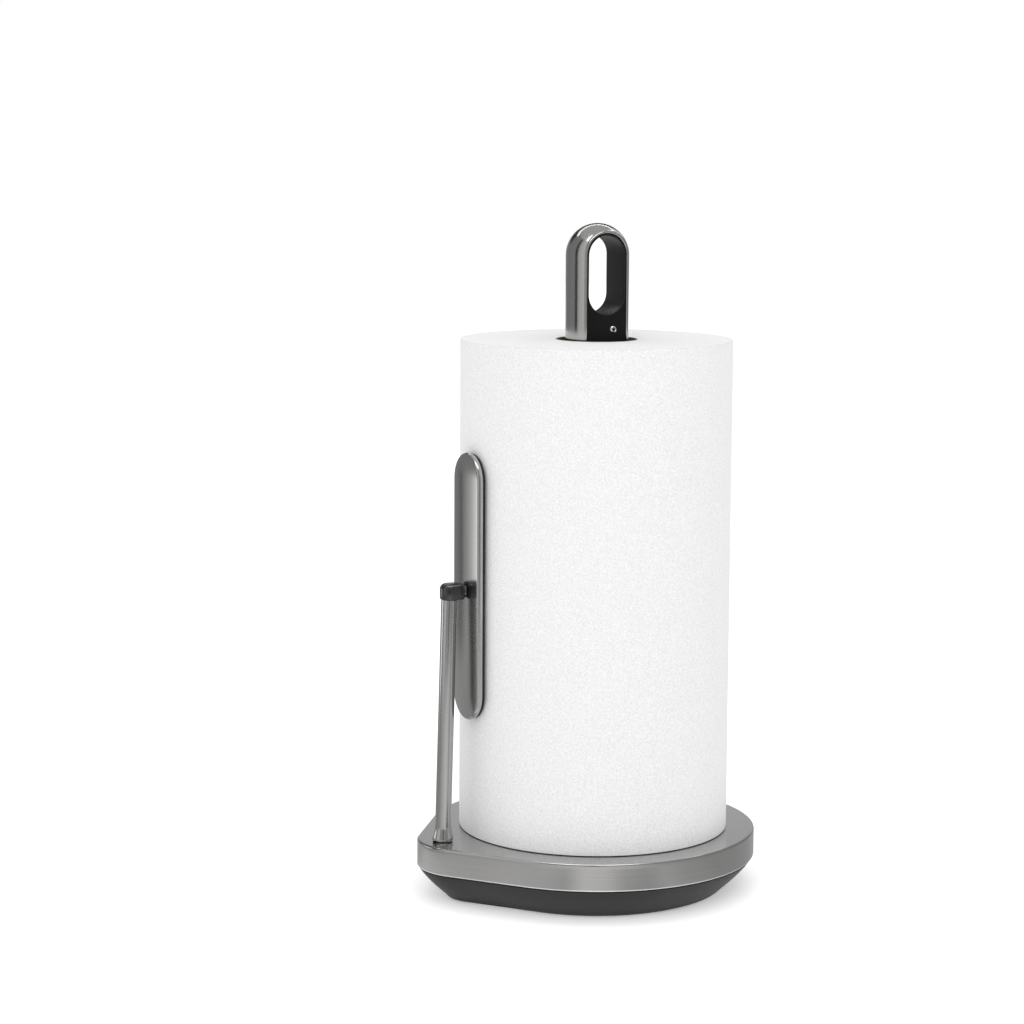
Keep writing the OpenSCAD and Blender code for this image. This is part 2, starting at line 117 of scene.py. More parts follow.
def grain(tree, scale, detail=4.0, rough=0.6):
    """Noise in the object's own coordinates. The scale is in cycles per metre, for all axes or for each."""
    coords = tree.nodes.new("ShaderNodeTexCoord")
    along = scale if isinstance(scale, tuple) else (scale, scale, scale)
    mapping = add_node(tree, "ShaderNodeMapping", {"Scale": along})
    tex = add_node(tree, "ShaderNodeTexNoise", {"Scale": 1.0, "Detail": detail, "Roughness": rough})
    tree.links.new(coords.outputs["Object"], mapping.inputs["Vector"])
    tree.links.new(mapping.outputs["Vector"], tex.inputs["Vector"])
    return tex.outputs["Fac"]


def vary_roughness(tree, bsdf, value, low, high):
    """Roughness that follows the noise value from low to high."""
    node = add_node(tree, "ShaderNodeMapRange",
                    {"From Min": NOISE_LOW, "From Max": NOISE_HIGH, "To Min": low, "To Max": high})
    tree.links.new(value, node.inputs["Value"])
    tree.links.new(node.outputs["Result"], bsdf.inputs["Roughness"])


def tint(tree, value, dark, light, near=NOISE_LOW, far=NOISE_HIGH):
    """The value as a colour: dark at near and light at far."""
    ramp = tree.nodes.new("ShaderNodeValToRGB")
    ramp.color_ramp.elements[0].position = near
    ramp.color_ramp.elements[0].color = (*dark, 1)
    ramp.color_ramp.elements[1].position = far
    ramp.color_ramp.elements[1].color = (*light, 1)
    tree.links.new(value, ramp.inputs["Fac"])
    return ramp.outputs["Color"]


def bump(tree, bsdf, height, distance, strength, after=None):
    """Relief on the shader, on top of an earlier bump if after is that bump."""
    node = add_node(tree, "ShaderNodeBump", {"Distance": distance, "Strength": strength})
    tree.links.new(height, node.inputs["Height"])
    if after is not None:
        tree.links.new(after, node.inputs["Normal"])
    tree.links.new(node.outputs["Normal"], bsdf.inputs["Normal"])
    return node.outputs["Normal"]


def vary_color(tree, bsdf, value, color, amount):
    """Base colour that the noise value darkens and lightens by a share of itself."""
    dark = tuple(c * (1 - amount) for c in color)
    light = tuple(min(1, c * (1 + amount)) for c in color)
    tree.links.new(tint(tree, value, dark, light), bsdf.inputs["Base Color"])


def brushed_steel(name, grain_scale, color=(0.46, 0.455, 0.45), rough=(0.13, 0.2), turn=0.0):
    """Brushed stainless steel. The grain is long on the axis where grain_scale is small."""
    patch_depth = 0.008 * MM
    line_depth = 0.004 * MM
    mat, tree, bsdf = new_material(name, color, 0.3, metallic=1.0)
    lines = grain(tree, grain_scale, detail=5.0, rough=0.65)
    patches = grain(tree, 45, detail=3.0)
    vary_color(tree, bsdf, lines, color, 0.05)
    vary_roughness(tree, bsdf, lines, *rough)
    worn = bump(tree, bsdf, patches, patch_depth, 0.3)
    bump(tree, bsdf, lines, line_depth, 0.4, after=worn)
    set_inputs(bsdf, {"Anisotropic": 0.3, "Anisotropic Rotation": turn})
    return mat


def moulded(name, color, roughness, texture=900, depth=0.02 * MM, specular=0.5, coat=0.0):
    """Moulded plastic or rubber with a fine texture and faint clouds, and a polished skin if coat is 1."""
    uneven = 0.07
    mat, tree, bsdf = new_material(name, color, roughness)
    fine = grain(tree, texture, detail=3.0)
    cloud = grain(tree, 38, detail=4.0)
    vary_color(tree, bsdf, cloud, color, 0.12)
    vary_roughness(tree, bsdf, fine, roughness - uneven, roughness + uneven)
    bump(tree, bsdf, fine, depth, 0.6)
    set_inputs(bsdf, {"Specular IOR Level": specular, "Coat Weight": coat, "Coat Roughness": 0.08})
    return mat


def plated(name, color, roughness, depth=0.01 * MM):
    """Plated or cast metal."""
    uneven = 0.25
    mat, tree, bsdf = new_material(name, color, roughness, metallic=1.0)
    fine = grain(tree, 700, detail=4.0)
    vary_color(tree, bsdf, fine, color, 0.14)
    vary_roughness(tree, bsdf, fine, roughness * (1 - uneven), roughness * (1 + uneven))
    bump(tree, bsdf, fine, depth, 0.6)
    return mat


def embossed_paper(name):
    """Soft white tissue with a small raised pattern, loose fibres and a fine speckle."""
    color = (0.64, 0.64, 0.642)
    cloud_share = 0.05
    emboss_depth = 0.11 * MM
    fibre_depth = 0.05 * MM
    mat, tree, bsdf = new_material(name, color, 0.9)
    coords = tree.nodes.new("ShaderNodeTexCoord")
    cells = add_node(tree, "ShaderNodeTexVoronoi", {"Scale": 420, "Randomness": 0.55})
    tree.links.new(coords.outputs["Object"], cells.inputs["Vector"])
    fibres = grain(tree, 1500, detail=5.0, rough=0.75)
    cloud = grain(tree, 60, detail=5.0)
    fine = grain(tree, 1050, detail=1.0, rough=0.7)
    speckle = add_node(tree, "ShaderNodeMath", {1: 1 - cloud_share})
    speckle.operation = "MULTIPLY"
    tree.links.new(fine, speckle.inputs[0])
    mottle = add_node(tree, "ShaderNodeMath", {1: cloud_share})
    mottle.operation = "MULTIPLY_ADD"
    tree.links.new(cloud, mottle.inputs[0])
    tree.links.new(speckle.outputs["Value"], mottle.inputs[2])
    vary_color(tree, bsdf, mottle.outputs["Value"], color, 0.092)
    soft = bump(tree, bsdf, cells.outputs["Distance"], emboss_depth, 0.5)
    bump(tree, bsdf, fibres, fibre_depth, 0.5, after=soft)
    set_inputs(bsdf, {"Specular IOR Level": 0.15, "Sheen Weight": 0.25, "Sheen Roughness": 0.6})
    return mat


def wound_paper(name):
    """End of the roll: the edges of the turns as fine rings about the column's axis."""
    ring_depth = 0.2 * MM
    mat, tree, bsdf = new_material(name, (0.83, 0.83, 0.83), 0.95)
    coords = tree.nodes.new("ShaderNodeTexCoord")
    rings = add_node(tree, "ShaderNodeTexWave", {"Scale": 420, "Distortion": 3.0, "Detail": 3.0})
    rings.wave_type = "RINGS"
    rings.rings_direction = "Z"
    tree.links.new(coords.outputs["Object"], rings.inputs["Vector"])
    turns = tint(tree, rings.outputs["Fac"], (0.74, 0.74, 0.74), (0.88, 0.88, 0.88), 0, 1)
    tree.links.new(turns, bsdf.inputs["Base Color"])
    bump(tree, bsdf, rings.outputs["Fac"], ring_depth, 0.5)
    set_inputs(bsdf, {"Specular IOR Level": 0.1})
    return mat


def cardboard(name):
    # Far darker than bare cardboard: painted shade for the hollow inside the roll, where the core sits in
    # shade.
    color = (0.11, 0.085, 0.065)
    fibre_depth = 0.06 * MM
    mat, tree, bsdf = new_material(name, color, 0.85)
    fibres = grain(tree, (500, 500, 900), detail=5.0, rough=0.7)
    vary_color(tree, bsdf, fibres, color, 0.22)
    bump(tree, bsdf, fibres, fibre_depth, 0.6)
    return mat


ALONG_Z = (2600, 2600, 14)
ROUND_RIM = (14, 14, 2600)
ALONG_X = (14, 2600, 14)

STEEL_UP = brushed_steel("steel_brushed_upright", ALONG_Z)
STEEL_FACE = brushed_steel("steel_brushed_face", ALONG_Z, rough=(0.16, 0.24))
# Much lighter than the other steel: a painted highlight for the thin bright line along the base rim's curled
# lower edge.
STEEL_PAINTED_HIGHLIGHT = brushed_steel("steel_edge_painted_highlight", ROUND_RIM, color=(0.86, 0.86, 0.85), rough=(0.2, 0.3))
STEEL_RIM = brushed_steel("steel_brushed_rim", ROUND_RIM, turn=0.25)
STEEL_PLATE = brushed_steel("steel_brushed_plate", ALONG_X, rough=(0.12, 0.18))
CHARCOAL = moulded("plastic_charcoal", (0.018, 0.0184, 0.0192), 0.5, texture=1100, depth=0.03 * MM,
                   specular=0.25)
BLACK = moulded("plastic_black", (0.008, 0.008, 0.0085), 0.36, specular=0.35)
BLACK_FACE = moulded("plastic_black_face", (0.006, 0.006, 0.0063), 0.5, specular=0.12)
BLACK_GLOSS = moulded("plastic_black_gloss", (0.005, 0.005, 0.0052), 0.2, depth=0.004 * MM, coat=1.0)
GRAY = moulded("plastic_gray", (0.30, 0.30, 0.30), 0.42)
PADDLE_RUBBER = moulded("rubber_paddle", (0.012, 0.012, 0.0125), 0.68, texture=600, depth=0.05 * MM,
                        specular=0.2)
SCREW = plated("screw_bright", (0.74, 0.74, 0.74), 0.22)
PAPER = embossed_paper("paper_embossed")
PAPER_END = wound_paper("paper_wound_end")
# The core's cardboard carries painted shade of the roll's hollow in its colour.
BOARD_PAINTED_SHADE = cardboard("cardboard_painted_shade")
SLOTS = {
    "brushed_steel": STEEL_UP,
    "charcoal_plastic": CHARCOAL,
    "black_plastic": BLACK,
    "gray_plastic": GRAY,
    "nylon": moulded("nylon_natural", (0.70, 0.68, 0.60), 0.4),
    "pad_rubber": moulded("rubber_foot", (0.03, 0.03, 0.032), 0.75, texture=500, depth=0.08 * MM),
    "paddle_rubber": PADDLE_RUBBER,
    "cast_ballast": plated("iron_cast_painted", (0.12, 0.12, 0.125), 0.6, depth=0.12 * MM),
    "cast_aluminium": plated("aluminium_cast", (0.58, 0.58, 0.6), 0.45, depth=0.06 * MM),
    "zinc_steel": plated("steel_zinc_plated", (0.6, 0.61, 0.63), 0.3),
    "spring_steel": plated("steel_spring", (0.4, 0.41, 0.42), 0.32),
    "bright_screw": SCREW,
    "cardboard": BOARD_PAINTED_SHADE,
    "paper": PAPER,
}


# ---------------------------------------------------------------- mesh helpers

def add_object(name, bm, materials=()):
    """Turns bm into an object in the scene."""
    mesh = bpy.data.meshes.new(name)
    bm.to_mesh(mesh)
    bm.free()
    for material in materials:
        mesh.materials.append(material)
    thing = bpy.data.objects.new(name, mesh)
    bpy.context.scene.collection.objects.link(thing)
    return thing


def shade(piece, smooth_angle):
    """Smooth shading, with an edge wherever faces meet at more than smooth_angle degrees."""
    piece.data.shade_smooth()
    piece.data.set_sharp_from_angle(angle=math.radians(smooth_angle))


def finish_piece(name, bm, materials, body, node, smooth_angle=38):
    """Turns bm into a visible piece that rides on body and stands for the CAD node."""
    bmesh.ops.recalc_face_normals(bm, faces=bm.faces)
    piece = add_object(name, bm, materials)
    shade(piece, smooth_angle)
    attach(piece, body)
    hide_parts(node)
    return piece


def add_ring(bm, points):
    return [bm.verts.new(p) for p in points]


def circle(radius, z, steps):
    turns = [TAU * i / steps for i in range(steps)]
    return [Vector((radius * math.cos(t), radius * math.sin(t), z)) for t in turns]


def skin(bm, rings):
    """Quads between closed rings that have the same number of points."""
    for a, b in zip(rings, rings[1:]):
        count = len(a)
        for i in range(count):
            j = (i + 1) % count
            bm.faces.new((a[i], a[j], b[j], b[i]))


def cap(bm, ring):
    return bm.faces.new(ring)


def fill_between(bm, outer, inner):
    """Flat faces between an outer loop and a loop inside it."""
    edges = []
    for loop in (outer, inner):
        for a, b in zip(loop, loop[1:] + loop[:1]):
            edges.append(bm.edges.get((a, b)) or bm.edges.new((a, b)))
    bmesh.ops.triangle_fill(bm, edges=edges, use_beauty=True)


def arc(centre, radius, start, end, steps):
    """Points (a, b) on an arc, angles in degrees, both ends included."""
    out = []
    for i in range(steps + 1):
        t = math.radians(start + (end - start) * i / steps)
        out.append((centre[0] + radius * math.cos(t), centre[1] + radius * math.sin(t)))
    return out


def lathe(bm, profile, steps, place=Matrix()):
    """Closed surface of revolution about Z through (radius, z) points, then moved by place."""
    rings = [add_ring(bm, [place @ p for p in circle(radius, z, steps)]) for radius, z in profile]
    skin(bm, rings + [rings[0]])


def teardrop(inset, z, waist=0.0):
    """The base's outline at height z, set in from the rim, with flanks that curve in by waist."""
    big = BASE_R - inset
    small = CORNER_R - inset
    phi = math.acos((small - big) / CORNER_X)
    big_steps, side_steps, corner_steps = 132, 12, 40
    points = []
    for i in range(big_steps):
        t = -phi + 2 * phi * i / big_steps
        points.append(Vector((big * math.cos(t), big * math.sin(t), z)))

    def side(t, start, stop, count):
        normal = Vector((math.cos(t), math.sin(t), 0))
        for i in range(count):
            f = i / count
            p = start.lerp(stop, f)
            points.append(p - normal * waist * math.sin(math.pi * f) ** 2)

    big_end = Vector((big * math.cos(phi), big * math.sin(phi), z))
    small_end = Vector((small * math.cos(phi) - CORNER_X, small * math.sin(phi), z))
    side(phi, big_end, small_end, side_steps)
    for i in range(corner_steps):
        t = phi + (TAU - 2 * phi) * i / corner_steps
        points.append(Vector((small * math.cos(t) - CORNER_X, small * math.sin(t), z)))
    mirrored_small = Vector((small_end.x, -small_end.y, z))
    mirrored_big = Vector((big_end.x, -big_end.y, z))
    side(-phi, mirrored_small, mirrored_big, side_steps)
    return points


# ---------------------------------------------------------------- base

def slot_outline(z, grow=0.0):
    """Opening for the arm in the plate: an obround along X."""
    radius = PLATE_OPENING_R + grow
    x_in = POST_X + 0.1 * MM
    x_out = POST_X - 0.7 * MM
    points = arc((x_in, 0), radius, -90, 90, 16) + arc((x_out, 0), radius, 90, 270, 16)
    return [Vector((x, y, z)) for x, y in points]


def make_base_cover():
    bm = bmesh.new()
    wall = 1 * MM
    edge = 1.15 * MM
    curl = 0.85 * MM
    bevel = 0.25 * MM
    under_plate = [(wall, PLATE_Z - 2.2 * MM), (1.5 * MM, PLATE_Z - 1.3 * MM), (2.4 * MM, PLATE_Z - wall)]
    # (inset, z) from inside the curled lower edge, up the rim and over onto the plate
    profile = [(wall, RIM_Z + 0.9 * MM), (wall, RIM_Z + 0.2 * MM), (0.95 * MM, RIM_Z)]
    profile += [(curl - a, b) for a, b in arc((0, RIM_Z + curl), curl, -85, 0, 6)]
    profile += [(0, RIM_Z + 3 * MM), (0, PLATE_Z - edge - 2 * MM)]
    profile += [(edge - a, b) for a, b in arc((0, PLATE_Z - edge), edge, 0, 90, 8)]
    profile += [(edge + wall, PLATE_Z)]
    rings = [add_ring(bm, teardrop(d, z)) for d, z in profile]
    skin(bm, rings)
    opening = [add_ring(bm, slot_outline(PLATE_Z, grow=bevel)), add_ring(bm, slot_outline(PLATE_Z - bevel)),
               add_ring(bm, slot_outline(PLATE_Z - wall))]
    fill_between(bm, rings[-1], opening[0])
    skin(bm, opening)
    inner = [rings[0]] + [add_ring(bm, teardrop(d, z)) for d, z in under_plate]
    skin(bm, inner)
    fill_between(bm, inner[-1], opening[-1])
    bmesh.ops.recalc_face_normals(bm, faces=bm.faces)
    rim, plate, painted_highlight_edge = range(3)
    for face in bm.faces:
        height = face.calc_center_median().z
        flat = abs(face.normal.z) > 0.8 and height > PLATE_Z - 1.5 * MM
        # The curled lower edge takes the lighter steel, which is a painted highlight.
        face.material_index = plate if flat else painted_highlight_edge if height < RIM_Z + curl else rim
    materials = [STEEL_RIM, STEEL_PLATE, STEEL_PAINTED_HIGHLIGHT]
    return finish_piece("base_cover", bm, materials, "base", "base_shell")


def make_housing():
    bm = bmesh.new()
    side_low = 3.4 * MM
    deepest_waist = 2.2 * MM
    steps = 8
    # (inset, z) from the top of the wall inside the rim, down the bulging side and under the foot
    outer = [(3.6 * MM, RIM_Z + 4.6 * MM), (1.5 * MM, RIM_Z + 4.6 * MM), (1.4 * MM, RIM_Z + 4.2 * MM),
             (1.4 * MM, RIM_Z - 0.5 * MM), (1.0 * MM, RIM_Z - 0.7 * MM)]
    for i in range(1, steps + 1):
        f = i / steps
        bulge = 0.9 * MM * math.sin(math.pi * f)
        outer.append((0.9 * MM + (FOOT_INSET - 2.8 * MM) * f - bulge,
                      RIM_Z - 0.9 * MM + (side_low + 0.5 * MM - RIM_Z) * f))
    outer += [(16.9 * MM, 2.0 * MM), (17.9 * MM, 1.25 * MM), (19.0 * MM, 0.85 * MM), (20.4 * MM, 0.8 * MM)]
    outer += [(20.9 * MM, 0.9 * MM), (21.0 * MM, 1.3 * MM), (21.0 * MM, 2.0 * MM)]
    rings = []
    for d, z in outer:
        waist = deepest_waist * max(0.0, min(1.0, (RIM_Z - z) / RIM_Z)) ** 1.5
        rings.append(add_ring(bm, teardrop(d, z, waist)))
    skin(bm, rings)
    cap(bm, rings[-1])
    inside = ((3.7 * MM, RIM_Z), (18.6 * MM, 5.2 * MM), (19.4 * MM, 4.6 * MM))
    inner = [rings[0]] + [add_ring(bm, teardrop(d, z)) for d, z in inside]
    skin(bm, inner)
    cap(bm, inner[-1])
    return finish_piece("housing_skirt", bm, [CHARCOAL], "base", "base_housing")


# ---------------------------------------------------------------- column

def band_profile():
    """Crowned section of the band as (out from the axis, front to back), with rounded edges."""
    edge = 0.5 * MM
    inner_r = BAND_R - BAND_T
    crown = math.degrees(math.asin((BAND_HALF - edge) / BAND_R))
    inner = math.degrees(math.asin((BAND_HALF - edge) / inner_r))
    points = arc((0, 0), BAND_R, -crown, crown, 30)
    out = Vector(points[-1])
    back = Vector((inner_r * math.cos(math.radians(inner)), inner_r * math.sin(math.radians(inner))))
    middle = (out + back) / 2
    half = (out - back).length / 2
    direction = math.degrees(math.atan2((out - back).y, (out - back).x))
    rounding = arc(middle, half, direction + 20, direction + 160, 5)
    points += rounding
    points += arc((0, 0), inner_r, inner, -inner, 20)
    points += [(a, -b) for a, b in reversed(rounding)]
    return points


def make_band():
    """The section swept up one leg, round the loop and down the other leg."""
    bm = bmesh.new()
    arch_steps = 56
    leg = [PLATE_Z + f * (LOOP_Z - PLATE_Z) for f in (0, 0.4, 0.8)]
    turns = [math.pi * i / arch_steps for i in range(arch_steps + 1)]
    stations = [(1, 0, z) for z in leg]
    stations += [(math.cos(t), math.sin(t), LOOP_Z) for t in turns]
    stations += [(-1, 0, z) for z in reversed(leg)]
    profile = band_profile()
    rings = [add_ring(bm, [Vector((r * cx, y, z + r * cz)) for r, y in profile]) for cx, cz, z in stations]
    skin(bm, rings)
    cap(bm, rings[0])
    cap(bm, rings[-1])
    return finish_piece("loop_band", bm, [STEEL_UP], "base", "column_band")


def arch_outline(half_width, low_z, centre_z, steps=40):
    """Upright strip with a round top, from its lower right corner anticlockwise, as (x, z)."""
    points = [(half_width, low_z), (half_width, (low_z + centre_z) / 2)]
    points += arc((0, centre_z), half_width, 0, 180, steps)
    points += [(-half_width, (low_z + centre_z) / 2), (-half_width, low_z)]
    return points


def hole_outline(grow, steps=28):
    """Finger hole as (x, z), grown outwards."""
    r = FINGER_R + grow
    points = arc((0, LOOP_Z), r, 0, 180, steps)
    points += arc((0, HOLE_LOW_Z), r, 180, 360, steps)
    return points


def make_liner(name, side, node):
    """Half of the black liner: side is -1 for the front half and 1 for the rear one."""
    bm = bmesh.new()
    low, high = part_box(node)
    depth = max(abs(low.y), abs(high.y))
    half = math.sqrt((BAND_R - BAND_T) ** 2 - depth ** 2) - 0.05 * MM
    lip = 0.6 * MM if side < 0 else 1.1 * MM
    seam = 0.12 * MM
    meeting_y = 0.02 * MM

    def at(points, y):
        return add_ring(bm, [Vector((x, side * y, z)) for x, z in points])

    outer = [at(arch_outline(half, low.z, LOOP_Z), y) for y in (depth, meeting_y)]
    hole = [at(hole_outline(a), b) for a, b in arc((lip, depth - lip), lip, 90, 180, 5)]
    hole += [at(hole_outline(0), seam), at(hole_outline(seam), meeting_y)]
    skin(bm, hole)
    skin(bm, outer)
    fill_between(bm, outer[0], hole[0])
    fill_between(bm, outer[1], hole[-1])
    bmesh.ops.recalc_face_normals(bm, faces=bm.faces)
    for face in bm.faces:
        face.material_index = 1 if abs(face.normal.y) > 0.99 else 0
    materials = [BLACK, BLACK_FACE]
    return finish_piece(name, bm, materials, "base", node, smooth_angle=50)


def make_liner_screw():
    """Screw with a domed head and a six-lobed recess."""
    bm = bmesh.new()
    head_r = (screw_high.x - screw_low.x) / 2
    shank_r = head_r * 0.55
    centre = Vector(((screw_low.x + screw_high.x) / 2, 0, (screw_low.z + screw_high.z) / 2))
    front = screw_low.y
    steps = 48
    lobe = 0.16
    # (radius, lobed, y) from the shank's end to the floor of the recess
    profile = [(shank_r, False, screw_high.y), (shank_r, False, front + 1.2 * MM),
               (head_r, False, front + 1.2 * MM), (head_r, False, front + 0.55 * MM),
               (head_r * 0.93, False, front + 0.3 * MM), (head_r * 0.75, False, front + 0.1 * MM),
               (head_r * 0.5, True, front), (head_r * 0.45, True, front + 0.12 * MM),
               (head_r * 0.42, True, front + 0.75 * MM)]
    rings = []
    for radius, lobed, y in profile:
        points = []
        for i in range(steps):
            t = TAU * i / steps
            r = radius * (1 + lobe * math.cos(6 * t)) if lobed else radius
            points.append(Vector((centre.x + r * math.cos(t), y, centre.z + r * math.sin(t))))
        rings.append(add_ring(bm, points))
    skin(bm, rings)
    cap(bm, rings[0])
    cap(bm, rings[-1])
    return finish_piece("liner_screw", bm, [SCREW], "base", "core_screw")


# ---------------------------------------------------------------- arm

ARM_FOOT = Vector((tube_low.x + TUBE_R, 0, tube_low.z))
ARM_TOP = Vector((tube_high.x - TUBE_R, 0, tube_high.z))
ARM_TURN = Vector((0, 0, 1)).rotation_difference((ARM_TOP - ARM_FOOT).normalized())
ARM_MATRIX = Matrix.Translation(ARM_FOOT) @ ARM_TURN.to_matrix().to_4x4()
ARM_LENGTH = (ARM_TOP - ARM_FOOT).length


def make_post():
    bm = bmesh.new()
    wall = 1 * MM
    soft = 0.2 * MM
    profile = [(TUBE_R - wall, 0), (TUBE_R - soft, 0), (TUBE_R, soft)]
    profile += [(TUBE_R, ARM_LENGTH * f) for f in (0.2, 0.4, 0.6, 0.8)]
    profile += [(TUBE_R, ARM_LENGTH - soft), (TUBE_R - soft, ARM_LENGTH), (TUBE_R - wall, ARM_LENGTH)]
    lathe(bm, profile, 72, ARM_MATRIX)
    return finish_piece("arm_post", bm, [STEEL_UP], "arm", "arm_tube")


def make_collar():
    """Flare: straight at the foot, then drawn in to the tube."""
    bm = bmesh.new()
    height = collar_high.z - collar_low.z
    wide = (collar_high.y - collar_low.y) / 2
    lift = collar_low.z - tube_low.z
    play = 0.02 * MM
    lip = 0.15 * MM
    straight, end = 0.17, 0.98
    steps = 10
    profile = [(TUBE_R + play, lift + 0.1 * MM), (wide - 0.3 * MM, lift + 0.1 * MM), (wide, lift + 0.4 * MM)]
    profile.append((wide, lift + height * straight))
    for i in range(1, steps + 1):
        f = i / steps
        ease = (1 - f) ** 1.6
        profile.append((TUBE_R + lip + (wide - TUBE_R - lip) * ease,
                        lift + height * (straight + (end - straight) * f)))
    profile.append((TUBE_R + play, lift + height * 0.985))
    lathe(bm, profile, 72, ARM_MATRIX)
    return finish_piece("post_collar", bm, [STEEL_UP], "arm", "arm_collar")


def head_outline(x_back, x_front, half_width, inset, z, steps=20):
    """The head at height z, set in by inset: a round back end and a square nose with round corners."""
    corner = half_width - HEAD_NOSE
    points = arc((x_front - HEAD_NOSE, -corner), HEAD_NOSE - inset, -90, 0, steps // 2)
    points += arc((x_front - HEAD_NOSE, corner), HEAD_NOSE - inset, 0, 90, steps // 2)
    points += arc((x_back + half_width, 0), half_width - inset, 90, 270, steps)
    return [Vector((x, y, z)) for x, y in points]


def cut_box(piece, low, high):
    """Cuts an upright box out of a piece."""
    bm = bmesh.new()
    size = high - low
    corners = [add_ring(bm, [Vector((low.x + size.x * a, low.y + size.y * b, z))
                             for a, b in ((0, 0), (1, 0), (1, 1), (0, 1))]) for z in (low.z, high.z)]
    skin(bm, corners)
    cap(bm, corners[0])
    cap(bm, corners[1])
    bmesh.ops.recalc_face_normals(bm, faces=bm.faces)
    cutter = add_object("cutter", bm)
    modifier = piece.modifiers.new("cut", "BOOLEAN")
    modifier.operation = "DIFFERENCE"
    modifier.solver = "EXACT"
    modifier.object = cutter
    bpy.context.view_layer.update()
    evaluated = piece.evaluated_get(bpy.context.evaluated_depsgraph_get())
    result = bpy.data.meshes.new_from_object(evaluated)
    piece.modifiers.clear()
    old, box = piece.data, cutter.data
    piece.data = result
    result.name = old.name
    bpy.data.meshes.remove(old)
    bpy.data.objects.remove(cutter)
    bpy.data.meshes.remove(box)


def make_head():
    """Cap with an opening in its nose for the paddle's lug."""
    bm = bmesh.new()
    half = head_high.y
    low_z = tube_high.z
    nose_x = face_low.x - 0.7 * MM
    top_round = 3.1 * MM
    low_round = 0.9 * MM
    profile = [(low_round - a, b) for a, b in arc((0, low_z + low_round), low_round, -90, 0, 4)]
    profile += [(top_round - a, b) for a, b in arc((0, head_high.z - top_round), top_round, 0, 90, 8)]
    rings = [add_ring(bm, head_outline(head_low.x, nose_x, half, d, z)) for d, z in profile]
    skin(bm, rings)
    cap(bm, rings[0])
    cap(bm, rings[-1])
    piece = finish_piece("head_cap", bm, [BLACK_GLOSS], "arm", "arm_head")
    lug_low, lug_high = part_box("paddle_lug")
    clear = 0.3 * MM
    slot_half = 2.4 * MM
    slot_top = (lug_low.z + lug_high.z) / 2 + 3.1 * MM
    cut_box(piece, Vector((lug_low.x - clear, -slot_half, low_z - MM)),
            Vector((nose_x + MM, slot_half, slot_top)))
    shade(piece, 38)
    return piece


# ---------------------------------------------------------------- paddle

def stadium(half_width, half_height, inset, steps=40):
    """Upright stadium as (y, z) about its centre, set in by inset."""
    r = half_width - inset
    straight = half_height - half_width
    points = arc((0, straight), r, 0, 180, steps)
    points += arc((0, -straight), r, 180, 360, steps)
    return points


def make_paddle_face():
    bm = bmesh.new()
    centre_z = (face_low.z + face_high.z) / 2
    half_w = face_high.y
    half_h = (face_high.z - face_low.z) / 2
    back_x = face_high.x
    edge = 1.3 * MM
    edge_steps = 8

    def ring(inset, sink, flat_x=None):
        points = []
        for y, z in stadium(half_w, half_h, inset):
            x = face_low.x + PADDLE_CROWN * (1 - inset / half_w) ** 2 + sink
            points.append(Vector((x if flat_x is None else flat_x, y, z + centre_z)))
        return add_ring(bm, points)

    rings = [ring(0.25 * MM, 0, back_x), ring(0.05 * MM, 0, back_x - 0.12 * MM),
             ring(0, 0, back_x - 0.35 * MM)]
    for i in range(edge_steps + 1):
        t = math.radians(90 * i / edge_steps)
        rings.append(ring(edge * (1 - math.cos(t)), edge * (1 - math.sin(t))))
    rings += [ring(half_w * f, 0) for f in (0.12, 0.2, 0.3, 0.42, 0.55, 0.68, 0.8, 0.9, 0.97)]
    skin(bm, rings)
    cap(bm, rings[0])
    cap(bm, rings[-1])
    return finish_piece("paddle_face", bm, [STEEL_FACE], "paddle", "paddle_shell")


def make_paddle_slab(name, low, high, material, node, edge):
    """Flat stadium-shaped piece behind the paddle's face, with rounded edges."""
    bm = bmesh.new()
    centre_z = (low.z + high.z) / 2
    half_w = high.y
    half_h = (high.z - low.z) / 2

    def ring(inset, x):
        return add_ring(bm, [Vector((x, y, z + centre_z)) for y, z in stadium(half_w, half_h, inset)])

    rings = [ring(edge - a, b) for a, b in arc((0, low.x + edge), edge, -90, 0, 4)]
    rings += [ring(edge - a, b) for a, b in arc((0, high.x - edge), edge, 0, 90, 4)]
    skin(bm, rings)
    cap(bm, rings[0])
    cap(bm, rings[-1])
    return finish_piece(name, bm, [material], "paddle", node)


# ---------------------------------------------------------------- roll

